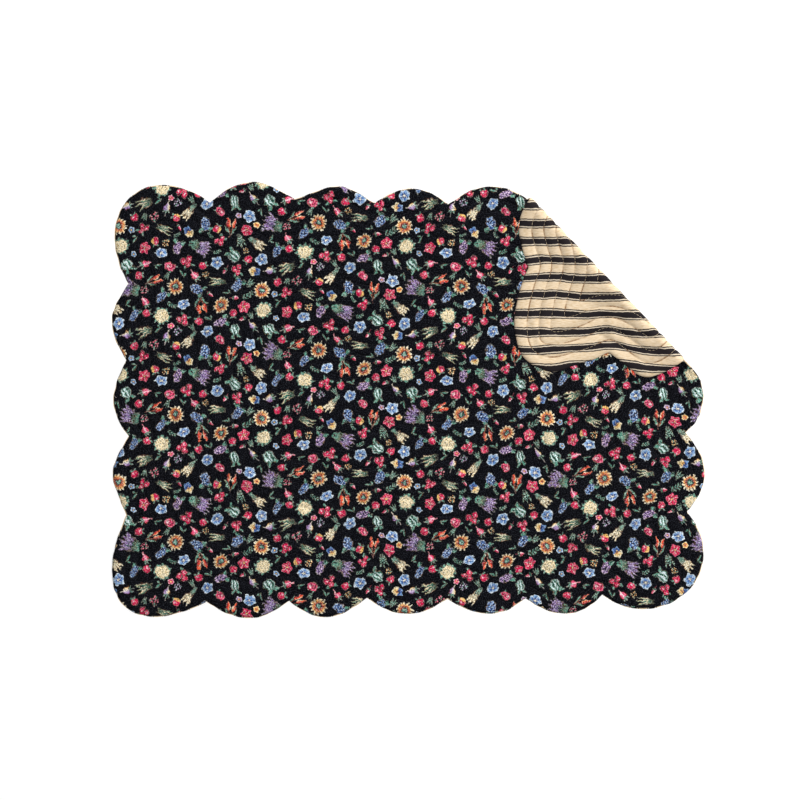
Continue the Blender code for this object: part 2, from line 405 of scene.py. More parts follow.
TUGS = (
    Tug(162.0, 60.0, 0.4, 2.0, 11.0),
    Tug(130.0, 52.0, 0.0, -1.1, 14.0),
    Tug(182.0, 62.0, 0.3, -1.0, 11.0),
    Tug(102.0, 48.0, -0.5, -1.2, 12.0),
    Tug(112.0, 84.0, 0.0, 0.8, 12.0),
    Tug(140.0, 96.0, 0.0, -0.7, 12.0),
    Tug(163.0, 38.0, 0.0, 1.3, 9.0),
    Tug(192.0, 20.0, 0.0, -1.6, 9.0),
    Tug(214.0, 24.0, -0.4, 1.6, 8.0),
    Tug(117.0, 26.0, 0.0, -3.4, 9.0),
    Tug(87.0, 47.0, 1.3, 0.0, 9.0),
    Tug(95.0, 111.0, 0.8, -1.8, 9.0),
)
CREASE_END = 0.35
DRIFT = 0.45
DRIFT_LENGTH = 26.0
Pull = namedtuple("Pull", "x y shift spread")
PULLS = (
    Pull(122.0, 31.0, 3.0, 15.0),
    Pull(148.0, 36.0, 1.5, 14.0),
    Pull(166.0, 40.0, 1.9, 13.0),
    Pull(184.0, 25.0, 2.5, 14.0),
    Pull(212.0, 25.0, 1.2, 12.0),
    Pull(117.0, 130.0, 1.1, 18.0),
    Pull(124.0, 90.0, 0.7, 18.0),
    Pull(149.5, 69.0, -1.2, 10.0),
)
OFF_GRAIN = 0.036
KINK = 1.3
KINK_LENGTH = 11.0
KINK_REACH = 2.0
TRUE_AT = (100.3, 60.0)


def unfold(x, y):
    """The flat place of the turned corner's cloth that lies above this place on the table."""
    place = np.array((x, y))
    mirrored = 2 * fold_start + settled_at + settled_across - place @ across_fold
    return along_fold * (place @ along_fold) + across_fold * mirrored


def turned_share(places):
    """0 on the mat, 1 on the turned corner, rising as the cloth comes down behind the roll."""
    share = np.clip((places @ across_fold - fold_start) / settled_at, 0, 1)
    return share**3


def bump_at(places, x, y, spread):
    """A soft round bump of height 1 over one place of the turned corner."""
    away = np.linalg.norm(places - unfold(x, y), axis=1) / spread
    return np.exp(-(away**2) / 2)


def ridge_at(places, crease):
    """A soft ridge of height 1 along a crease of the turned corner."""
    start, end = unfold(crease.x, crease.y), unfold(crease.to_x, crease.to_y)
    run = end - start
    share = np.clip((places - start) @ run / (run @ run), 0, 1)
    away = np.linalg.norm(places - start - share[:, None] * run, axis=1) / crease.width
    return np.exp(-(away**2) / 2) * (CREASE_END + (1 - CREASE_END) * np.sin(math.pi * share))


def lift(places):
    """How much higher the turned corner lies at each flat place."""
    lifted = sum(item.height * bump_at(places, item.x, item.y, item.spread) for item in LIFTS)
    return lifted * turned_share(places)


def crease(places):
    """The creases of the turned corner, which stand up or sink in from its outer side."""
    return sum(item.height * ridge_at(places, item) for item in CREASES) * turned_share(places)


def mirrored_shift(shift):
    """A shift on the table as a shift of the flat cloth that lies there turned over."""
    return shift - 2 * (shift @ across_fold) * across_fold


def drifted(places):
    """The flat places again, pulled out of true in their own plane."""
    moved = places + DRIFT * np.stack([wave(places, DRIFT_LENGTH, seed) for seed in (11, 12)], axis=1)
    share = turned_share(places)
    for tug in TUGS:
        shift = mirrored_shift(np.array((tug.shift_x, tug.shift_y)))
        moved += (bump_at(places, tug.x, tug.y, tug.spread) * share)[:, None] * shift
    return moved


def bent(places, height):
    """Flat places, with a signed height off the middle of the mat, as points of the folded mat."""
    moved = drifted(places)
    past = moved @ across_fold - fold_start
    across, up, heading = section(past)
    standing = height - crease(places) * (height < 0)
    across += fold_start - standing * np.sin(heading)
    up += BACK_CROWN + standing * np.cos(heading) + lift(places)
    spot = (moved @ along_fold)[:, None] * along_fold + across[:, None] * across_fold
    return np.column_stack([spot, up])


print("Turned corner:", len(LIFTS), "lifts,", len(CREASES), "creases,", len(TUGS), "tugs")

# %% [markdown]
# ## The two sheets
#
# Each panel is one sheet. At the edge it follows the rim: the seam lies on the face side, because turning
# the mat rolls the tan cloth a hair's breadth over the edge, more in some places than in others. That is
# the thin pale line round the real mat. The rim is a strip of rows joined to the flat mesh's outer loop.

# %% Rim rows and sheets
Row = namedtuple("Row", "roll inset height")
FRONT_RIM = (
    Row(1.0, 0.0, 0.30),
    Row(0.5, 0.45, 0.62),
    Row(0.0, 1.2, 0.98),
)
BACK_RIM = (
    Row(1.0, 0.0, 0.30),
    Row(0.4, 0.02, 0.12),
    Row(0.0, 0.0, -0.25),
    Row(0.0, 0.35, -0.70),
    Row(0.0, 1.2, -1.0),
)
ROLL_LEAST = 0.15
ROLL_MOST = 0.95
ROLL_LENGTH = 30.0
EDGE_WOBBLE = 0.6
EDGE_WOBBLE_LENGTH = 7.0

rolled = ROLL_LEAST + (ROLL_MOST - ROLL_LEAST) * np.clip(0.5 + wave(rim_loop, ROLL_LENGTH, 21), 0, 1)
wobble = EDGE_WOBBLE * wave(rim_loop, EDGE_WOBBLE_LENGTH, 22)


def rim_rows(rows):
    """The rim's flat places and signed heights, one row after another from the seam inwards."""
    places, raised = [], []
    for row in rows[:-1]:
        inset = row.roll * rolled + row.inset + wobble * (1 - row.inset / RIM_WIDTH)
        places.append(rim_loop + rim_facing * inset[:, None])
        raised.append(np.full(len(rim_loop), row.height))
    return np.vstack(places), np.concatenate(raised)


def rim_faces(first_row, row_count, inner_loop):
    """Two triangles for each step of the rim, between its rows and on to the flat mesh's outer loop."""
    count = len(inner_loop)
    rows = [first_row + row * count + np.arange(count) for row in range(row_count)] + [inner_loop]
    faces = []
    for outer, inner in zip(rows, rows[1:]):
        beside_outer, beside_inner = np.roll(outer, -1), np.roll(inner, -1)
        faces.append(np.column_stack([outer, inner, beside_inner]))
        faces.append(np.column_stack([outer, beside_inner, beside_outer]))
    return np.vstack(faces)


def sheet_mesh(cloth, rows):
    """One panel, rim included: flat places, points of the folded mat, and triangles that face outwards."""
    rim_places, rim_heights = rim_rows(rows)
    places = np.vstack([flat, rim_places])
    height = np.concatenate([cloth.side * heights[cloth.name], rim_heights])
    faces = np.vstack([triangles, rim_faces(len(flat), len(rows) - 1, outer_loop)])
    a, b, c = (places[faces[:, k]] for k in range(3))
    upward = (b - a)[:, 0] * (c - a)[:, 1] - (b - a)[:, 1] * (c - a)[:, 0]
    inner_faces = np.arange(len(faces)) < len(triangles)
    turned = np.where(inner_faces, upward * cloth.side < 0, cloth.side < 0)
    faces[turned] = faces[turned][:, ::-1]
    return places, bent(places, height), faces


def add_object(name, points, faces):
    """A smooth mesh object from arrays of points and faces."""
    mesh = bpy.data.meshes.new(name)
    mesh.from_pydata(points.tolist(), [], faces.tolist())
    mesh.shade_smooth()
    made = bpy.data.objects.new(name, mesh)
    bpy.context.scene.collection.objects.link(made)
    return made


def store(mesh, name, domain, values):
    """Keeps three numbers for each point or corner of a mesh, for its material to read."""
    attribute = mesh.attributes.new(name, "FLOAT_VECTOR", domain)
    attribute.data.foreach_set("vector", np.asarray(values, np.float32).ravel())


def off_grain(places):
    """How far across the striped cloth each flat place lies, with the stripes pulled out of true."""
    across = places[:, 0] - OFF_GRAIN * (places[:, 1] - unfold(*TRUE_AT)[1])
    pulled = sum(pull.shift * bump_at(places, pull.x, pull.y, pull.spread) for pull in PULLS)
    kinked = KINK * wave(stitch_place, KINK_LENGTH, 31) * np.exp(-from_stitch / KINK_REACH)
    kinked = np.concatenate([kinked, np.zeros(len(places) - len(flat))])
    return across + pulled * turned_share(places) + kinked


sheets = {}
for cloth, rows in ((FRONT, FRONT_RIM), (BACK, BACK_RIM)):
    sheets[cloth.name] = sheet_mesh(cloth, rows)
all_points = np.vstack([points for _, points, _ in sheets.values()])
middle = (all_points.min(axis=0) + all_points.max(axis=0)) / 2
middle[2] = 0.0
panels = {}
for name, (places, points, faces) in sheets.items():
    panels[name] = add_object(name, (points - middle) * MM, faces)
    on_rim = len(places) - len(flat)
    away = np.concatenate([from_stitch, np.full(on_rim, FIRST_INSET)])
    u = off_grain(places) if name == BACK.name else places[:, 0]
    store(panels[name].data, "cut", "POINT", np.column_stack([u, places[:, 1], away]))
    print(name, len(faces), "triangles", [round(x / MM, 1) for x in panels[name].dimensions])

# %% [markdown]
# ## The print, laid out
#
# A fabric printer repeats one block of small motifs over the whole cloth, each block half a step down from
# the one beside it. An image could hold that block, but here the motifs are drawn by the material. Python
# only decides where each goes: the counted motifs are spread out first, then the widest gap left is found
# and filled with a sprig, a bud or a leaf, again and again, until no gap is wide enough. Then every
# triangle learns which motif it belongs to and where in that motif it lies.

# %% The motifs' sizes
Motif = namedtuple("Motif", "name radius count often", defaults=(0,))
MOTIFS = (
    Motif("daisy", 7.2, 3),
    Motif("blue_bloom", 5.6, 6),
    Motif("ruffled_bloom", 5.4, 3),
    Motif("two_tone_bloom", 5.2, 2),
    Motif("rose", 5.2, 2),
    Motif("pompom", 7.4, 2),
    Motif("seed_head", 7.0, 3),
    Motif("berries", 5.8, 5),
    Motif("cluster", 6.6, 7),
    Motif("tulips", 7.4, 3),
    Motif("ears", 7.6, 2),
    Motif("lavender", 8.6, 2),
    Motif("fruit", 4.3, 10),
    Motif("bulb", 5.4, 6),
    Motif("pods", 7.8, 3),
    Motif("sprig", 5.0, 0, 3),
    Motif("fern", 5.4, 0, 3),
    Motif("berry_spray", 4.6, 0, 2),
    Motif("small_bloom", 2.9, 0, 1),
    Motif("rosebud", 3.2, 0, 1),
    Motif("two_leaves", 3.4, 0, 2),
)
LEAST_FILLER = 3.0
BLOCK_WIDTH = 116.0
BLOCK_HEIGHT = 104.0
PLACE_STEP = 0.8
APART_FROM_LIKE = 26.0
FILLER_APART = 10.0
SQUASH = 0.72
print("The print has", len(MOTIFS), "kinds of motif")

# %% One block of the print
Placed = namedtuple("Placed", "centre radius kind turn squash first second")
OPEN_ROOM = 30.0
ENOUGH_ROOM = 9.0
LIKENESS_COST = 6.0
NEARLY_BEST = 0.6


def steps_to_blocks(columns, rows):
    """The steps to the blocks around one, each column of blocks half a step off the one beside it."""
    return np.array([(i * BLOCK_WIDTH, (j + 0.5 * (i % 2)) * BLOCK_HEIGHT) for i in columns for j in rows])


near_blocks = steps_to_blocks((-1, 0, 1), (-2, -1, 0, 1, 2))
grid_u, grid_v = np.meshgrid(np.arange(0, BLOCK_WIDTH, PLACE_STEP), np.arange(0, BLOCK_HEIGHT, PLACE_STEP))
spots = np.column_stack([grid_u.ravel(), grid_v.ravel()])


def away_from(place):
    """How far each spot of the block is from a place or the nearest of its repeats."""
    away = np.full(len(spots), np.inf)
    for step in near_blocks:
        away = np.minimum(away, np.hypot(*(spots - place - step).T))
    return away


def block_layout(seed):
    """Spreads the counted motifs over the block, then fills its gaps, the widest first."""
    random = np.random.default_rng(seed)
    placed = []
    room = np.full(len(spots), OPEN_ROOM)
    from_kind = [np.full(len(spots), np.inf) for _ in MOTIFS]

    def put(kind, radius, spot):
        nonlocal room
        away = away_from(spot)
        room = np.minimum(room, away - radius)
        from_kind[kind] = np.minimum(from_kind[kind], away)
        turn = random.uniform(0, 2 * math.pi)
        squash = random.uniform(SQUASH, 1.0)
        placed.append(Placed(spot, radius, kind, turn, squash, random.random(), random.random()))

    waiting = [kind for kind, motif in enumerate(MOTIFS) for _ in range(motif.count)]
    random.shuffle(waiting)
    for kind in sorted(waiting, key=lambda kind: round(MOTIFS[kind].radius / 2), reverse=True):
        score = np.minimum(room, ENOUGH_ROOM) - LIKENESS_COST * (from_kind[kind] < APART_FROM_LIKE)
        best = np.flatnonzero(score > score.max() - NEARLY_BEST)
        put(kind, MOTIFS[kind].radius, spots[random.choice(best)])
    fillers = [kind for kind, motif in enumerate(MOTIFS) for _ in range(motif.often)]
    while room.max() > LEAST_FILLER:
        spot = np.argmax(room)
        fitting = [kind for kind in fillers if from_kind[kind][spot] > FILLER_APART] or fillers[-1:]
        kind = random.choice(fitting)
        put(kind, min(room[spot], MOTIFS[kind].radius), spots[spot])
    return placed


LAYOUT_SEED = 7
block = block_layout(LAYOUT_SEED)
filled = sum(math.pi * item.radius**2 for item in block) / (BLOCK_WIDTH * BLOCK_HEIGHT)
print("Print block:", len(block), "motifs,", round(100 * filled), "% filled")

# %% Each triangle's motif
REACH = np.array((245.0, 182.0))
BLOCKS_EACH_WAY = range(-4, 5)


def block_copies():
    """Every copy of every motif that can show on the mat."""
    copies = []
    for item in block:
        for centre in item.centre + steps_to_blocks(BLOCKS_EACH_WAY, BLOCKS_EACH_WAY):
            if (np.abs(centre) < REACH + item.radius).all():
                copies.append(item._replace(centre=centre))
    return copies


copies = block_copies()
print("On the mat:", len(copies), "motifs")
NEAR_MOTIFS = 16


def motif_of(places):
    """The index of the copy whose motif each flat place belongs to, measured from the motifs' rims."""
    tree = tree_of([copy.centre for copy in copies])
    chosen = []
    for place in places:
        near = tree.find_n((*place, 0.0), NEAR_MOTIFS)
        chosen.append(min(near, key=lambda found: found[2] - copies[found[1]].radius)[1])
    return np.array(chosen)


def lay_out_print(name):
    """Tells each corner of a panel's triangles where it lies in its motif, and which dyes that motif has."""
    places, _, faces = sheets[name]
    chosen = motif_of(places[faces].mean(axis=1))
    centre = np.array([copy.centre for copy in copies])[chosen]
    radius, kind, turn, squash, first, second = np.array([copy[1:] for copy in copies])[chosen].T
    offset = (places[faces] - centre[:, None, :]) / radius[:, None, None]
    cosine, sine = np.cos(turn)[:, None], np.sin(turn)[:, None]
    x = (offset[:, :, 0] * cosine + offset[:, :, 1] * sine) / squash[:, None]
    y = offset[:, :, 1] * cosine - offset[:, :, 0] * sine
    same = np.ones_like(x)
    store(panels[name].data, "stamp", "CORNER", np.stack([x, y, same * kind[:, None]], axis=-1))
    dyes = np.stack([same * first[:, None], same * second[:, None], same * radius[:, None]], axis=-1)
    store(panels[name].data, "dyes", "CORNER", dyes)
    print(name, "carries", len(np.unique(chosen)), "motifs")


lay_out_print(FRONT.name)

# %% [markdown]
# ## Writing a material as arithmetic
#
# Shader nodes can be added one by one, but a drawing made of sums and products is easier to read as
# Python. Wire wraps the socket that a node gives out, and its operators add Math nodes. Recipe holds one
# material's node tree, and its node() is the only other way in which a node is made.

# %% Wire and Recipe


def arithmetic(operation, swapped=False):
    """A method that adds one Math node, with the wire as its first number or its second."""

    def method(self, other):
        return self.math(operation, *((other, self) if swapped else (self, other)))

    return method


class Wire:
    """What a shader node gives out. Arithmetic on it adds Math nodes to the same material."""

    def __init__(self, recipe, socket):
        self.recipe = recipe
        self.socket = socket

    def output(self, index):
        return Wire(self.recipe, self.socket.node.outputs[index])

    def math(self, operation, *values):
        return self.recipe.node("ShaderNodeMath", {"operation": operation}, dict(enumerate(values)))

    def __neg__(self):
        return self.math("MULTIPLY", self, -1.0)

    def __abs__(self):
        return self.math("ABSOLUTE", self)

    __add__ = arithmetic("ADD")
    __sub__ = arithmetic("SUBTRACT")
    __rsub__ = arithmetic("SUBTRACT", swapped=True)
    __mul__ = arithmetic("MULTIPLY")
    __truediv__ = arithmetic("DIVIDE")
    minimum = arithmetic("MINIMUM")
    maximum = arithmetic("MAXIMUM")


class Recipe:
    """One material: its node tree and its Principled shader."""

    def __init__(self, name, **finish):
        self.material = bpy.data.materials.new(name)
        self.material.use_nodes = True
        self.tree = self.material.node_tree
        self.shader = self.tree.nodes["Principled BSDF"]
        for socket, value in finish.items():
            self.shader.inputs[socket.replace("_", " ")].default_value = value

    def node(self, kind, settings, sockets, out=0):
        """Adds a node: its type, its settings, then the values or links of its sockets."""
        made = self.tree.nodes.new(kind)
        for setting, value in settings.items():
            if setting == "stops":
                fill_ramp(made.color_ramp, value)
            else:
                setattr(made, setting, value)
        for socket, value in sockets.items():
            if isinstance(value, Wire):
                self.tree.links.new(value.socket, made.inputs[socket])
            else:
                made.inputs[socket].default_value = value
        return Wire(self, made.outputs[out])

    def read(self, attribute):
        """The numbers that the mesh keeps under this name."""
        return self.node("ShaderNodeAttribute", {"attribute_name": attribute}, {}, out=1)

    def feed(self, socket, wire):
        self.tree.links.new(wire.socket, self.shader.inputs[socket])


def fill_ramp(color_ramp, stops):
    """Sets a colour ramp's stops, given as (position, colour) pairs."""
    while len(color_ramp.elements) < len(stops):
        color_ramp.elements.new(1.0)
    for element, (position, colour) in zip(color_ramp.elements, stops):
        element.position = position
        element.color = colour


print("Materials can be written as arithmetic")

# %% Words for drawing with wires


def step_up(value, low, high):
    """0 where the value is low, 1 where it is high, and a soft step between."""
    sockets = {"Value": value, "From Min": low, "From Max": high}
    return value.recipe.node("ShaderNodeMapRange", {"interpolation_type": "SMOOTHSTEP"}, sockets)


def blend(under, over, share):
    """The colour under, covered by the colour over as far as share says."""
    return share.recipe.node("ShaderNodeMix", {"data_type": "RGBA"}, {0: share, 6: under, 7: over}, out=2)


def ramp(value, *stops):
    """A colour that follows the value through (position, colour) stops."""
    return value.recipe.node("ShaderNodeValToRGB", {"stops": stops}, {0: value})


def split(vector):
    """A vector's first two numbers."""
    x = vector.recipe.node("ShaderNodeSeparateXYZ", {}, {0: vector})
    return x, x.output(1)


def join(x, y):
    """A flat vector from two numbers."""
    return x.recipe.node("ShaderNodeCombineXYZ", {}, {0: x, 1: y})


def length(vector):
    """How long a vector is."""
    return vector.recipe.node("ShaderNodeVectorMath", {"operation": "LENGTH"}, {0: vector}, out=1)


def placed(vector, at=(0.0, 0.0), turn=0.0, size=(1.0, 1.0)):
    """The same spot, seen from a part of the drawing that lies at a place, turned and sized."""
    sockets = {0: vector, 1: (*at, 0.0), 2: (0.0, 0.0, math.radians(turn)), 3: (*size, 1.0)}
    return vector.recipe.node("ShaderNodeMapping", {"vector_type": "TEXTURE"}, sockets)


def mirrored(vector):
    """The spot with its right half folded onto the left, for a drawing in two like halves."""
    x, y = split(vector)
    return join(abs(x), y)


def spokes(vector, count):
    """The spot within the nearest of several spokes: across the spoke, and out along it."""
    x, y = split(vector)
    share = x.math("ARCTAN2", x, y) * (count / (2 * math.pi))
    turn = (share - share.math("ROUND", share)) * (2 * math.pi / count)
    reach = length(vector)
    return reach * turn.math("SINE", turn), reach * turn.math("COSINE", turn)


def leaf_shape(x, y, base, tip, half_width):
    """Below zero inside a leaf that runs along y from base to tip, and above zero outside it."""
    share = (y - base) * (1 / (tip - base))
    return abs(x) - share * (1 - share) * (4 * half_width)


def drop_shape(x, y, base, tip, half_width):
    """Below zero inside a drop with its point at base and its round end at tip."""
    share = (y - base) * (1 / (tip - base))
    round_end = share.math("SQRT", (1 - share).maximum(0.0))
    return abs(x) - share * round_end * (2.6 * half_width)


def ink(distance, softness=0.05):
    """1 inside a shape and 0 outside it, with a slightly soft edge."""
    return step_up(distance, softness, -softness / 2)


def between(value, low, high):
    """1 while the value is between low and high."""
    return step_up(value, low - 0.04, low + 0.04) * step_up(value, high + 0.04, high - 0.04)


def cells(spot, scale, randomness):
    """Distance to the nearest of many scattered cell centres."""
    sockets = {"Vector": spot, "Scale": scale, "Randomness": randomness}
    return spot.recipe.node("ShaderNodeTexVoronoi", {"voronoi_dimensions": "2D"}, sockets)


def mottle(spot, scale, detail):
    """Soft noise between 0 and 1."""
    sockets = {"Vector": spot, "Scale": scale, "Detail": detail, "Roughness": 0.6}
    return spot.recipe.node("ShaderNodeTexNoise", {"noise_dimensions": "2D"}, sockets)


print("Drawing words are ready")

# %% [markdown]
# ## The dyes
#
# Printed cotton looks painted because each motif has a dark, a middle and a light tone of its dye. The
# palette is written the way a designer would note it, in ordinary 0 to 255 colour, and turned into the
# linear colour that a renderer adds up.

# %% Palette


def dye(red, green, blue):
    """A 0 to 255 colour as linear colour."""
    linear = [
        v / 12.92 if v <= 0.04045 else ((v + 0.055) / 1.055) ** 2.4
        for v in (red / 255, green / 255, blue / 255)
    ]
    return (*linear, 1.0)


INK_BLACK = dye(15, 15, 19)
GARNET = dye(118, 10, 54)
RASPBERRY = dye(212, 24, 78)
PINK = dye(238, 106, 146)
BLUSH = dye(250, 222, 222)
RUST = dye(150, 70, 46)
ORANGE = dye(232, 126, 70)
PERSIMMON = dye(232, 70, 44)
GOLD = dye(248, 196, 112)
STRAW = dye(240, 214, 158)
CREAM = dye(248, 240, 214)
BARK = dye(140, 110, 76)
DEEP_GREEN = dye(14, 52, 44)
DARK_LEAF = dye(22, 72, 60)
GREEN = dye(38, 96, 80)
SAGE = dye(78, 144, 124)
MINT = dye(172, 218, 198)
NAVY = dye(38, 54, 100)
BLUE = dye(60, 102, 172)
SKY = dye(128, 172, 216)
ICE = dye(226, 236, 242)
PLUM = dye(74, 54, 94)
PURPLE = dye(122, 84, 156)
LILAC = dye(196, 168, 214)
print("Palette: 24 dyes")

# %% [markdown]
# ## The motifs
#
# Each motif is drawn in its own circle of radius 1 and gives back how much it covers the ground and with
# what colour. Petals are one leaf shape seen from the nearest of several spokes, berries are discs lit
# from one side, and clusters come from a pattern of cells, so every drawing stays a few lines long. seed
# is a number from 0 to 1 that picks between dyes, so that one drawing gives flowers of several colours.

# %% Shared parts of the motifs


def over(under, top):
    """One painted shape laid on another: what the two cover, and with what colour."""
    return under[0].maximum(top[0]), blend(under[1], top[1], top[0])


def pick(seed, share, first, second):
    """The first paint on this share of the motifs, and the second on the rest."""
    return blend(first, second, step_up(seed, share - 0.01, share + 0.01))


def line_along(x, y, half_width, softness, start, end):
    """A thin line along y, from start to end."""
    return ink(abs(x) - half_width, softness) * between(y, start, end)


def leaf_paint(x):
    """Green for a leaf: one half dark, the other light, and a pale rib."""
    paint = blend(DARK_LEAF, SAGE, step_up(x, -0.05, 0.06))
    rib = ink(abs(x) - 0.015, 0.04)
    return blend(paint, MINT, rib * 0.7)


def leaf_pair(spot, at, turn, reach, half_width):
    """Two mirrored leaves that start at one place and lean outwards, with their paint."""
    x, y = split(placed(mirrored(spot), at, turn))
    return ink(leaf_shape(x, y, 0.0, reach, half_width)), leaf_paint(x)


def petals_of(spot, count, base, half_width, tip=0.98, softness=0.05):
    """Petals round a middle: the place across a petal, how far out it is, and what they cover."""
    x, y = spokes(spot, count)
    return x, length(spot), ink(leaf_shape(x, y, base, tip, half_width), softness)


def veined(paint, x, reach, start, colour):
    """A petal's paint with a pale line down its middle."""
    return blend(paint, colour, line_along(x, reach, 0.03, 0.04, start, 0.7) * 0.8)


def nearest_disc(spot, centres, radius):
    """How far the nearest of some like discs is, in their radius."""
    return reduce(Wire.minimum, [length(placed(spot, at, 0.0, (radius, radius))) for at in centres])


def fan(spot, count, spread_width):
    """A few stalks from one foot: across a stalk, out along it, and 1 where the fan has stalks."""
    x, y = spokes(placed(spot, at=(0.0, -1.1)), count)
    across, height = split(spot)
    inside = step_up(abs(across) - height * 0.30, spread_width + 0.06, spread_width - 0.06)
    return x, y, inside


print("Shared parts: leaves, petals, veins, discs and fans")

# %% Round flowers


def daisy(spot, seed):
    """Thirteen narrow gold petals with rusty bases and dark sides, round a green eye."""
    x, reach, petals = petals_of(spot, 13, 0.1, 0.17)
    paint = ramp(reach, (0.30, GARNET), (0.42, RUST), (0.54, ORANGE), (0.68, GOLD), (0.88, CREAM))
    paint = blend(paint, GARNET, step_up(abs(x), 0.06, 0.16) * 0.8)
    eye = ramp(reach, (0.05, DEEP_GREEN), (0.11, MINT), (0.22, GREEN), (0.30, DEEP_GREEN))
    return over((petals, paint), (ink(reach - 0.31), eye))


def blue_bloom(spot, seed):
    """A wide blue flower with a pale rim, pale veins and a cream eye."""
    x, reach, petals = petals_of(spot, 5, -0.45, 0.60)
    paint = ramp(reach, (0.12, CREAM), (0.20, NAVY), (0.38, BLUE), (0.66, SKY), (0.88, ICE))
    paint = blend(paint, BLUE, step_up(abs(x), 0.26, 0.50) * 0.8)
    return petals, veined(paint, x, reach, 0.2, ICE)


def ruffled_bloom(spot, seed):
    """Five raspberry petals, edged with pink, with pale veins."""
    x, reach, petals = petals_of(spot, 5, -0.5, 0.58)
    paint = ramp(reach, (0.08, GOLD), (0.16, GARNET), (0.40, RASPBERRY), (0.74, RASPBERRY), (0.95, PINK))
    paint = blend(paint, GARNET, step_up(abs(x), 0.28, 0.48) * 0.9)
    return petals, veined(paint, x, reach, 0.22, BLUSH)


def two_tone_bloom(spot, seed):
    """A flower whose upper petals are cream and whose lower ones are blue."""
    x, reach, petals = petals_of(spot, 5, -0.4, 0.56)
    cream = ramp(reach, (0.15, RUST), (0.30, GOLD), (0.65, STRAW), (0.90, CREAM))
    blue = ramp(reach, (0.10, GOLD), (0.22, NAVY), (0.60, BLUE), (0.90, SKY))
    paint = blend(blue, cream, step_up(split(spot)[1], -0.08, 0.04))
    return petals, blend(paint, NAVY, step_up(abs(x), 0.30, 0.48) * 0.6)


def rose(spot, seed):
    """A full round rose with wound petals, on two leaves."""
    x, y = split(spot)
    reach = length(spot)
    around = x.math("ARCTAN2", x, y)
    wound = around.math("SINE", around * 2 + reach * 12.0) * 0.5 + 0.5
    head = ink(reach - 0.72 - wound * 0.06, 0.08)
    paint = ramp(wound, (0.08, GARNET), (0.35, RASPBERRY), (0.70, RASPBERRY), (0.95, PINK))
    lit = length(placed(spot, (-0.22, 0.28)))
    paint = blend(paint, BLUSH, step_up(lit, 0.30, 0.10) * 0.75)
    return over(leaf_pair(spot, (0.30, -0.45), -120.0, 0.62, 0.17), (head, paint))


def pompom(spot, seed):
    """A full head of small cream florets with a ring of leaves behind it."""
    x, reach, leaves = petals_of(spot, 11, 0.3, 0.22, tip=1.0)
    cream = ramp(cells(spot, 7.0, 0.9), (0.10, CREAM), (0.55, STRAW), (0.85, BARK))
    return over((leaves, leaf_paint(x)), (ink(reach - 0.72), cream))


def small_bloom(spot, seed):
    """Five round petals: gold, pink or pale blue."""
    _, reach, petals = petals_of(spot, 5, -0.1, 0.44, tip=1.0, softness=0.1)
    gold = ramp(reach, (0.18, RUST), (0.32, ORANGE), (0.66, GOLD), (0.95, CREAM))
    pink = ramp(reach, (0.15, GOLD), (0.30, RASPBERRY), (0.66, PINK), (0.95, BLUSH))
    pale = ramp(reach, (0.15, GOLD), (0.30, NAVY), (0.60, SKY), (0.95, ICE))
    return petals, pick(seed, 0.55, pick(seed, 0.25, gold, pink), pale)


def seed_head(spot, seed):
    """A round striped seed head in pale green, on leaves."""
    x, y = split(placed(spot, (0.0, 0.26), 0.0, (0.70, 0.68)))
    reach = x.math("SQRT", x * x + y * y)
    head = ink(reach - 0.95, 0.07)
    around = x / x.math("SQRT", (1.02 - y * y).maximum(0.02))
    stripe = around.math("SINE", around * 9.0)
    paint = ramp(stripe * 0.5 + 0.5, (0.12, DEEP_GREEN), (0.40, SAGE), (0.72, MINT), (0.95, ICE))
    paint = blend(paint, GREEN, step_up(reach, 0.55, 1.0) * 0.7)
    return over(leaf_pair(spot, (0.05, -0.20), -128.0, 0.85, 0.22), (head, paint))


print("Round flowers: 8 drawings")

# %% Ears, fruit and buds


def lavender(spot, seed):
    """A fan of purple ears on thin green stems."""
    x, y, inside = fan(spot, 26, 0.76)
    heads = ink(leaf_shape(x, y, 0.80, 1.94, 0.14)) * inside
    stems = line_along(x, y, 0.03, 0.04, 0.10, 0.9) * inside
    paint = ramp(cells(spot, 6.0, 0.7), (0.05, ICE), (0.20, LILAC), (0.42, PURPLE), (0.62, PLUM))
    return over((stems, SAGE), (heads, paint))


def ears(spot, seed):
    """A small sheaf of ears, straw-coloured or amber, with green stalks."""
    x, y, inside = fan(spot, 25, 0.48)
    heads = ink(leaf_shape(x, y, 0.75, 2.04, 0.16)) * inside
    stems = line_along(x, y, 0.05, 0.05, 0.08, 0.85) * inside
    grain = y.math("SINE", y * 24.0 + abs(x) * 18.0) * 0.5 + 0.5
    straw = ramp(grain, (0.0, BARK), (0.25, STRAW), (0.85, CREAM))
    amber = ramp(grain, (0.0, RUST), (0.25, ORANGE), (0.85, GOLD))
    stem_paint = blend(GREEN, MINT, step_up(x, -0.03, 0.06))
    return over((stems, stem_paint), (heads, pick(seed, 0.55, straw, amber)))


def berries(spot, seed):
    """Three red berries lit from the upper left, and two small leaves."""
    centres = ((-0.46, -0.30), (0.46, -0.24), (0.02, 0.40))
    fruit_ink = ink(nearest_disc(spot, centres, 0.46) - 0.90, 0.12)
    glow = nearest_disc(spot, [(u - 0.12, v + 0.14) for u, v in centres], 0.46)
    paint = ramp(glow, (0.10, BLUSH), (0.24, PINK), (0.42, RASPBERRY), (0.85, RASPBERRY), (0.98, GARNET))
    return over(leaf_pair(spot, (0.30, 0.50), -50.0, 0.7, 0.16), (fruit_ink, paint))


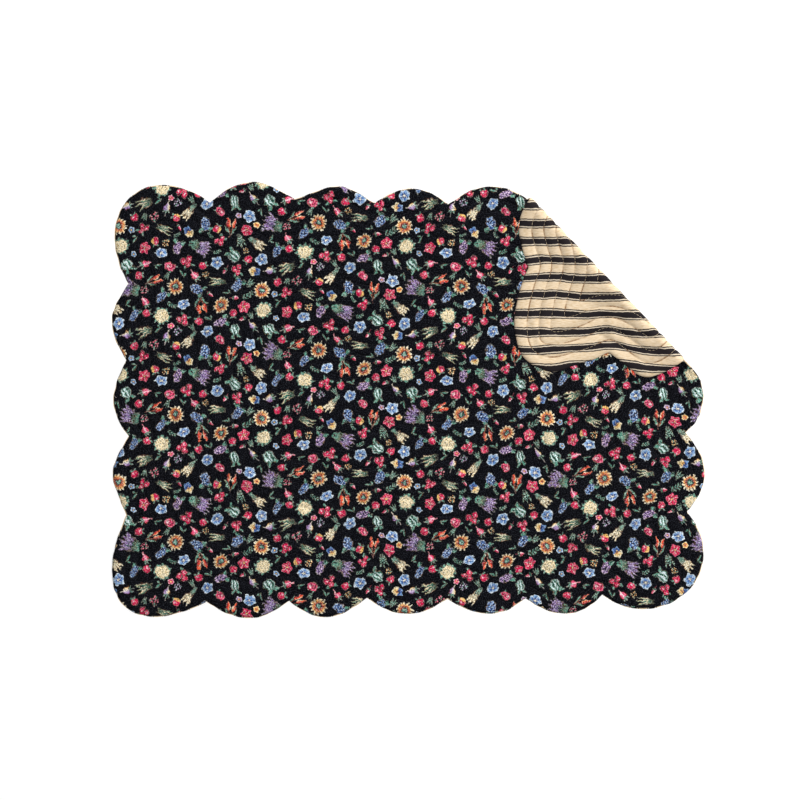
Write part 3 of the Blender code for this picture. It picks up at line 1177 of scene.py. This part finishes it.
def fruit(spot, seed):
    """A round red fruit, sometimes with a pale yellow cheek, under two small leaves."""
    body = ink(length(placed(spot, (0.0, -0.14), 0.0, (0.80, 0.76))) - 0.95, 0.1)
    lit = length(placed(spot, (-0.24, 0.10)))
    paint = ramp(lit, (0.06, BLUSH), (0.18, PINK), (0.34, RASPBERRY), (0.76, RASPBERRY), (1.0, GARNET))
    cheek = step_up(split(spot)[0], 0.10, 0.40) * step_up(seed, 0.74, 0.76)
    return over((body, blend(paint, GOLD, cheek)), leaf_pair(spot, (0.02, 0.46), -58.0, 0.72, 0.16))


def bulb(spot, seed):
    """A bulb that ends in a thin root, pink or lilac, with a tuft of leaves."""
    x, y = split(spot)
    body = ink(drop_shape(x, y, -0.62, 0.42, 0.50), 0.1)
    root = line_along(x + y * y * 0.2, y, 0.05, 0.07, -1.0, -0.4)
    side = x * 0.9 + 0.5
    pink = ramp(side, (0.10, RASPBERRY), (0.36, PINK), (0.48, BLUSH), (0.60, PINK), (0.90, RASPBERRY))
    lilac = ramp(side, (0.05, GOLD), (0.35, CREAM), (0.60, LILAC), (0.95, PURPLE))
    leaf_x, leaf_y = spokes(placed(spot, (0.0, 0.16)), 9)
    tuft = ink(leaf_shape(leaf_x, leaf_y, 0.05, 0.86, 0.12)) * step_up(y, 0.34, 0.42)
    return over((body.maximum(root), pick(seed, 0.55, pink, lilac)), (tuft, leaf_paint(leaf_x)))


def pods(spot, seed):
    """A fan of slender pods, green at the foot and straw-coloured along one side."""
    x, y, inside = fan(spot, 24, 0.50)
    bent_x = x + y * y * 0.035 - 0.05
    shapes = ink(leaf_shape(bent_x, y, 0.30, 2.0, 0.13)) * inside
    paint = ramp(bent_x * 3.2 + 0.5, (0.20, GREEN), (0.46, SAGE), (0.62, STRAW), (0.85, CREAM))
    return shapes, blend(GREEN, paint, step_up(y, 0.6, 1.1))


def cluster(spot, seed):
    """A bunch of small round berries, blue or purple, with leaves beside its stalk."""
    bunch = ink(length(placed(spot, (0.0, -0.12), 0.0, (0.60, 0.84))) - 0.92, 0.12)
    bead = cells(spot, 3.3, 0.55)
    blue = ramp(bead, (0.08, ICE), (0.22, SKY), (0.36, BLUE), (0.48, NAVY), (0.58, INK_BLACK))
    purple = ramp(bead, (0.08, BLUSH), (0.22, LILAC), (0.36, PURPLE), (0.48, PLUM), (0.58, INK_BLACK))
    leaves = leaf_pair(spot, (0.06, 0.42), -64.0, 0.95, 0.26)
    return over(leaves, (bunch, pick(seed, 0.65, blue, purple)))


def tulips(spot, seed):
    """Two closed orange-red buds on stems, with slender leaves."""
    x, y = split(placed(mirrored(spot), (0.08, -0.88), -12.0))
    buds = ink(drop_shape(x, y, 1.85, 0.80, 0.24))
    stems = line_along(x, y, 0.03, 0.05, 0.0, 0.9)
    paint = ramp(x * 2.4 + 0.5, (0.0, CREAM), (0.22, ORANGE), (0.55, PERSIMMON), (1.0, GARNET))
    leaves, green = leaf_pair(spot, (0.05, -0.9), -36.0, 1.15, 0.12)
    return over((leaves.maximum(stems), green), (buds, paint))


def rosebud(spot, seed):
    """A small pink or gold bud in a green cup."""
    x, y = split(spot)
    bud = ink(drop_shape(x, y, 0.95, -0.35, 0.42), 0.1)
    cup = ink(leaf_shape(y + 0.45, x, -0.6, 0.6, 0.28), 0.1)
    side = x * 1.4 + 0.5
    pink = ramp(side, (0.1, BLUSH), (0.35, PINK), (0.60, RASPBERRY), (1.0, GARNET))
    gold = ramp(side, (0.1, CREAM), (0.35, GOLD), (0.65, ORANGE), (1.0, RUST))
    return over((bud, pick(seed, 0.75, pink, gold)), (cup, GREEN))


print("Ears, fruit and buds: 8 drawings")

# %% Greenery


def sprig(spot, seed):
    """Leaves to either side of a curved stem, in turn."""
    x, y = split(spot)
    x = x + y * y * 0.30 - 0.14
    gap = 0.56
    rung = y.math("FLOORED_MODULO", y + 1.0 + x.math("SIGN", x) * (gap / 4), gap)
    leaf_x, leaf_y = split(placed(join(abs(x), rung), (0.0, 0.02), -46.0))
    leaves = ink(leaf_shape(leaf_x, leaf_y, 0.0, 0.66, 0.15)) * step_up(abs(y), 1.02, 0.94)
    stem = ink(abs(x) - 0.02) * step_up(abs(y), 0.98, 0.86)
    return leaves.maximum(stem), leaf_paint(leaf_x)


def fern(spot, seed):
    """A few feathery fronds from one foot."""
    x, y, inside = fan(spot, 15, 0.72)
    outline = ink(leaf_shape(x, y, 0.15, 1.98, 0.21)) * inside
    barb = y.math("SINE", y * 17.0 - abs(x) * 16.0)
    rib = ink(abs(x) - 0.02, 0.04)
    return outline * ink(-barb, 0.5).maximum(rib), blend(GREEN, MINT, step_up(barb, 0.0, 1.4))


def berry_spray(spot, seed):
    """A loose group of tiny berries, red, gold or lilac, with a few leaves."""
    bead = cells(spot, 1.9, 0.9)
    dots = ink(bead - 0.28, 0.12) * step_up(length(spot), 1.0, 0.9)
    x, y = spokes(placed(spot, (0.1, 0.1), 40.0), 3)
    leaves = ink(leaf_shape(x, y, 0.2, 1.05, 0.15))
    red = ramp(bead, (0.02, BLUSH), (0.14, PINK), (0.30, RASPBERRY))
    gold = ramp(bead, (0.04, CREAM), (0.16, GOLD), (0.30, ORANGE))
    lilac = ramp(bead, (0.06, ICE), (0.18, LILAC), (0.30, PURPLE))
    paint = pick(seed, 0.60, pick(seed, 0.45, red, gold), lilac)
    return over((leaves, leaf_paint(x)), (dots, paint))


def two_leaves(spot, seed):
    """A long leaf and a short one on one stalk."""
    x, y = split(placed(spot, (-0.1, -0.9), 8.0))
    long_leaf = ink(leaf_shape(x, y, 0.2, 1.9, 0.27), 0.1)
    side_x, side_y = split(placed(spot, (0.05, -0.65), -62.0))
    short_leaf = ink(leaf_shape(side_x, side_y, 0.05, 1.0, 0.22), 0.1)
    stalk = line_along(x, y, 0.02, 0.05, -0.1, 0.4)
    return over((long_leaf.maximum(stalk), leaf_paint(x)), (short_leaf, leaf_paint(side_x)))


print("Greenery: 4 drawings, so that", len(MOTIFS), "motifs are drawn")

# %% [markdown]
# ## The printed cotton
#
# The ground is a deep black that still shows its thread: a plain weave of fine yarn, slightly uneven, with
# almost no shine. The motifs lie over it, a little shaky at their edges and mottled inside, as ink is on
# cloth. One Compare node for each motif lets only the right drawing through on each triangle.

# %% Printed cotton
YARN = 0.42
YARN_DEPTH = 0.0001
DRAWINGS = (
    daisy, blue_bloom, ruffled_bloom, two_tone_bloom, rose, pompom, seed_head, berries, cluster, tulips,
    ears, lavender, fruit, bulb, pods, sprig, fern, berry_spray, small_bloom, rosebud, two_leaves,
)
SHADE = (0.13, 0.15, 0.18, 1.0)
WHITE = (1.0, 1.0, 1.0, 1.0)
LIT = dye(252, 246, 236)


def add_weave(recipe, cut, strength):
    """Lets the shading show a plain weave: yarns that pass over and under each other."""
    u, v = split(cut)
    turn = math.pi / YARN
    height = abs(u.math("SINE", u * turn) * v.math("SINE", v * turn))
    sockets = {"Strength": strength, "Distance": YARN_DEPTH, "Height": height}
    recipe.feed("Normal", recipe.node("ShaderNodeBump", {}, sockets))


def multiplied(colour, shade, share):
    """A colour darkened by a shade."""
    settings = {"data_type": "RGBA", "blend_type": "MULTIPLY"}
    return colour.recipe.node("ShaderNodeMix", settings, {0: share, 6: colour, 7: shade}, out=2)


def shake(spot):
    """A shift from soft and from fine noise."""
    return (mottle(spot, 0.3, 1.0) - 0.5) * 0.5 + (mottle(spot, 1.3, 1.0) - 0.5) * 0.18


def hand_drawn(recipe, cut):
    """The place in the motif, shifted a little so that no edge is true, and the number of its kind."""
    x, y = split(recipe.read("stamp"))
    beside = placed(cut, at=(37.0, 11.0))
    return join(x + shake(cut), y + shake(beside)), x.output(2)


def brushed(paint, cut, tone):
    """Paint as a brush lays it: darker in some strokes, lit in others, and no two motifs quite alike."""
    dark_stroke = ramp(mottle(cut, 0.9, 3.0), (0.37, SHADE), (0.52, WHITE))
    paint = multiplied(paint, dark_stroke, 0.9)
    light_stroke = step_up(mottle(placed(cut, at=(11.0, 53.0)), 1.0, 3.0), 0.56, 0.66)
    paint = blend(paint, LIT, light_stroke * 0.42)
    return multiplied(paint, blend(SHADE, WHITE, tone * 0.7 + 0.5), 0.4)


def printed_cotton():
    """The front panel's material."""
    recipe = Recipe("flower_print", Roughness=0.9, Specular_IOR_Level=0.03)
    cut = recipe.read("cut")
    seed, tone = split(recipe.read("dyes"))
    spot, kind = hand_drawn(recipe, cut)
    paint, cover = None, None
    for number, drawing in enumerate(DRAWINGS):
        covers, motif_paint = drawing(spot, seed)
        mine = covers * kind.math("COMPARE", kind, number, 0.25)
        cover = mine if cover is None else cover + mine
        paint = motif_paint if paint is None else blend(paint, motif_paint, mine)
    speck = mottle(cut, 1.3, 3.0)
    ground = ramp(speck, (0.42, dye(1, 1, 3)), (0.54, dye(7, 7, 11)), (0.70, dye(52, 54, 62)))
    recipe.feed("Base Color", blend(ground, brushed(paint, cut, tone), cover))
    add_weave(recipe, cut, 0.25)
    return recipe.material


panels[FRONT.name].data.materials.append(printed_cotton())
print("Printed cotton:", len(bpy.data.materials["flower_print"].node_tree.nodes), "nodes")

# %% [markdown]
# ## The ticking stripe
#
# Ticking is woven with coloured warp yarns. Here each repeat is a black band with a thin line on either
# side, on tan. The stripe is worked out from the place across the cut cloth, so it bends with the folds.
# Along each row of stitches the tan is darkened to brown in patches, as painted shade of the groove.

# %% Striped cotton
STRIPE_REPEAT = 14.6
STRIPE_AT = 122.4
BAND_HALF = 2.3
LINE_AT = 3.5
LINE_HALF = 0.44
STRIPE_SOFTNESS = 0.15
WANDER = 0.8
SWAY = 0.7
SERRATION = 0.12
SERRATION_STEP = 0.9
GROOVE_HALF = 0.4
TAN = dye(222, 202, 174)
TAN_SHADE = dye(200, 175, 138)
PALE = dye(208, 196, 177)
GROOVE_SHADE = dye(122, 78, 38)
STRIPE_BLACK = dye(33, 29, 31)


def within(value, limit, softness):
    """1 while the value is under a limit, with a soft step at it."""
    return step_up(value, limit + softness, limit - softness)


def striped_cotton():
    """The back panel's material."""
    recipe = Recipe("ticking_stripe", Roughness=0.85, Specular_IOR_Level=0.08)
    cut = recipe.read("cut")
    u, v = split(cut)
    from_row = u.output(2)
    repeat = (u - STRIPE_AT) * (1 / STRIPE_REPEAT) + 0.5
    wander = (mottle(cut, 0.35, 3.0) - 0.5) * WANDER
    across = abs((repeat.math("FRACT", repeat) - 0.5) * STRIPE_REPEAT + wander)
    across = across + (mottle(cut, 0.07, 1.0) - 0.5) * SWAY
    serration = v.math("SINE", v * (2 * math.pi / SERRATION_STEP)) * SERRATION
    band = within(across, BAND_HALF, STRIPE_SOFTNESS)
    line = within(abs(across - LINE_AT) + serration, LINE_HALF, STRIPE_SOFTNESS)
    slub = mottle(placed(cut, size=(1.0, 6.0)), 1.4, 3.0)
    ground = ramp(slub, (0.3, TAN_SHADE), (0.62, TAN))
    ground = blend(ground, PALE, within(across, LINE_AT, 0.3) * 0.7)
    # Painted shade: the tan is darkened to brown, in patches, along each row of stitches, where the cloth is
    # sewn down into a groove.
    patchy = step_up(mottle(cut, 0.07, 3.0), 0.40, 0.60)
    groove_shade = step_up(from_row, GROOVE_HALF + 0.5, GROOVE_HALF - 0.3) * (patchy * 0.85 + 0.15)
    ground = blend(ground, GROOVE_SHADE, groove_shade)
    recipe.feed("Base Color", blend(ground, STRIPE_BLACK, band.maximum(line)))
    add_weave(recipe, cut, 0.3)
    return recipe.material


panels[BACK.name].data.materials.append(striped_cotton())
print("Striped cotton is on", BACK.name)

# %% [markdown]
# ## The stitches
#
# Each row is sewn with black thread on the face and tan thread on the back. A stitch is a short piece of
# thread that rises out of the cloth and dives back in. All the stitches of a side are joined in one mesh,
# made from arrays, because there are thousands of them.

# %% Stitches
Thread = namedtuple("Thread", "name cloth ring_count width colour")
THREADS = (
    Thread("front_stitches", FRONT, 3, 0.17, dye(22, 21, 26)),
    Thread("back_stitches", BACK, 5, 0.16, dye(204, 184, 152)),
)
STITCH = 2.7
STITCH_GAP = 0.35
THREAD_SIDES = 4
THREAD_RISE = 0.16
THREAD_SINK = 0.06
THREAD_END = 0.55


def stitch_arrays(thread):
    """Flat places, signed heights and faces of all the stitches on one side."""
    places, raised, faces = [], [], []
    rings = np.linspace(0, 1, thread.ring_count)
    angles = np.arange(THREAD_SIDES) * (2 * math.pi / THREAD_SIDES)
    for line in stitch_lines:
        facing = inward_normals(line)
        length_mm = len(line) * STITCH_SAMPLE
        starts = np.linspace(0, length_mm, round(length_mm / (STITCH + STITCH_GAP)), endpoint=False)
        for start in starts:
            first = sum(map(len, places))
            at = np.round((start + rings * STITCH) / STITCH_SAMPLE).astype(int) % len(line)
            arch = np.sin(rings * math.pi)
            thick = thread.width * (THREAD_END + (1 - THREAD_END) * arch)
            for ring in range(thread.ring_count):
                places.append(line[at[ring]] + np.outer(np.cos(angles) * thick[ring], facing[at[ring]]))
                middle_height = thread.cloth.stitched - THREAD_SINK + THREAD_RISE * arch[ring]
                raised.append(thread.cloth.side * (middle_height + np.sin(angles) * thick[ring]))
            faces.append(tube_faces(first, thread.ring_count))
    return np.vstack(places), np.concatenate(raised), np.vstack(faces)


def tube_faces(first, ring_count):
    """Triangles of one open tube whose rings start at the given point."""
    made = []
    for ring in range(ring_count - 1):
        for side in range(THREAD_SIDES):
            beside = (side + 1) % THREAD_SIDES
            a = first + ring * THREAD_SIDES + side
            b = first + ring * THREAD_SIDES + beside
            made.append((a, b, b + THREAD_SIDES))
            made.append((a, b + THREAD_SIDES, a + THREAD_SIDES))
    return np.array(made)


def cotton_thread(name, colour):
    """Matt sewing thread with a faint twist."""
    recipe = Recipe(name, Roughness=0.7, Specular_IOR_Level=0.25)
    twist = mottle(recipe.read("cut"), 3.0, 1.0)
    dark = tuple(0.7 * c for c in colour[:3]) + (1.0,)
    recipe.feed("Base Color", ramp(twist, (0.35, dark), (0.6, colour)))
    return recipe.material


stitching = {}
for thread in THREADS:
    places, raised, faces = stitch_arrays(thread)
    sewn = add_object(thread.name, (bent(places, raised) - middle) * MM, faces)
    store(sewn.data, "cut", "POINT", np.column_stack([places, np.zeros(len(places))]))
    sewn.data.materials.append(cotton_thread(thread.name, thread.colour))
    stitching[thread.cloth.name] = sewn
    print(thread.name, len(faces), "triangles")

# %% [markdown]
# ## What each piece stands for
#
# Every sheet replaces the plain solid that it was laid over and rides on the same body. The flat size
# that it was cut to is only printed.

flat_low, flat_high = rim_loop.min(axis=0), rim_loop.max(axis=0)
cut_size = tuple((flat_high - flat_low) * MM)
x, y = rim_loop.T
cut_area = abs(np.sum(x * np.roll(y, -1) - np.roll(x, -1) * y)) / 2 * MM**2
for cloth, node, slot in ((FRONT, "front_cloth", "printed_cotton"), (BACK, "back_cloth", "striped_cotton")):
    panel, sewn = panels[cloth.name], stitching[cloth.name]
    for piece in (panel, sewn):
        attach(piece, "root")
    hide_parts(node)
print("Cut size:", [round(x / MM, 1) for x in cut_size], "mm, area", round(cut_area, 4), "square metres")

# %% [markdown]
# ## The table, the light and the camera
#
# The mat was photographed from straight above on white, with hardly a shadow beside it. A pale floor, an
# even dome of light and one soft lamp from the far right keep the colours true and still show the puffs.
# The lamp throws no shadow of its own, as where a second lamp opposite would lift it.

# %% Floor
FLOOR_SIZE = 6.0
FLOOR_DROP = 0.0002


def add_floor():
    """A plain pale floor just under the mat."""
    corners = np.array([(-1, -1, 0), (1, -1, 0), (1, 1, 0), (-1, 1, 0)]) * FLOOR_SIZE / 2
    floor = add_object("floor", corners - (0.0, 0.0, FLOOR_DROP), np.array([(0, 1, 2, 3)]))
    recipe = Recipe("pale_floor", Roughness=0.9, Specular_IOR_Level=0.1)
    recipe.shader.inputs["Base Color"].default_value = WHITE
    floor.data.materials.append(recipe.material)


add_floor()
print("Floor:", FLOOR_SIZE, "m wide")

# %% Light
LAMP_PLACE = (1.8, 1.65, 1.72)
LAMP_SIZE = 1.2
LAMP_WATTS = 104.0
DOME_STRENGTH = 0.56


def add_lamp(name, place, size, watts):
    """A square soft lamp that faces the mat."""
    lamp = bpy.data.lights.new(name, "AREA")
    lamp.size = size
    lamp.energy = watts
    lamp.use_shadow = False
    made = bpy.data.objects.new(name, lamp)
    made.location = place
    made.rotation_euler = (-Vector(place)).to_track_quat("-Z", "Y").to_euler()
    bpy.context.scene.collection.objects.link(made)


add_lamp("main_lamp", LAMP_PLACE, LAMP_SIZE, LAMP_WATTS)
world = bpy.data.worlds.new("studio")
world.use_nodes = True
dome = world.node_tree.nodes["Background"]
dome.inputs["Color"].default_value = WHITE
dome.inputs["Strength"].default_value = DOME_STRENGTH
bpy.context.scene.world = world
bpy.context.scene.view_settings.view_transform = "Standard"
print("Light: a lamp of", LAMP_WATTS, "W and a dome of strength", DOME_STRENGTH)

# %% Camera
PHOTO_SIDE = 800
MM_PER_PIXEL = 0.8138
ORIGIN_PIXEL = (408.24, 400.55)
LENS = 90.0
SENSOR = 36.0

camera_data = bpy.data.cameras.new("camera")
camera_data.lens = LENS
camera_data.sensor_width = SENSOR
camera = bpy.data.objects.new("camera", camera_data)
view_width = PHOTO_SIDE * MM_PER_PIXEL * MM
aim_x = (PHOTO_SIDE / 2 - ORIGIN_PIXEL[0]) * MM_PER_PIXEL - middle[0]
aim_y = (ORIGIN_PIXEL[1] - PHOTO_SIDE / 2) * MM_PER_PIXEL - middle[1]
camera.location = (aim_x * MM, aim_y * MM, view_width * LENS / SENSOR)
bpy.context.scene.collection.objects.link(camera)
bpy.context.scene.camera = camera
print("Camera", round(camera.location.z, 3), "m above the mat")
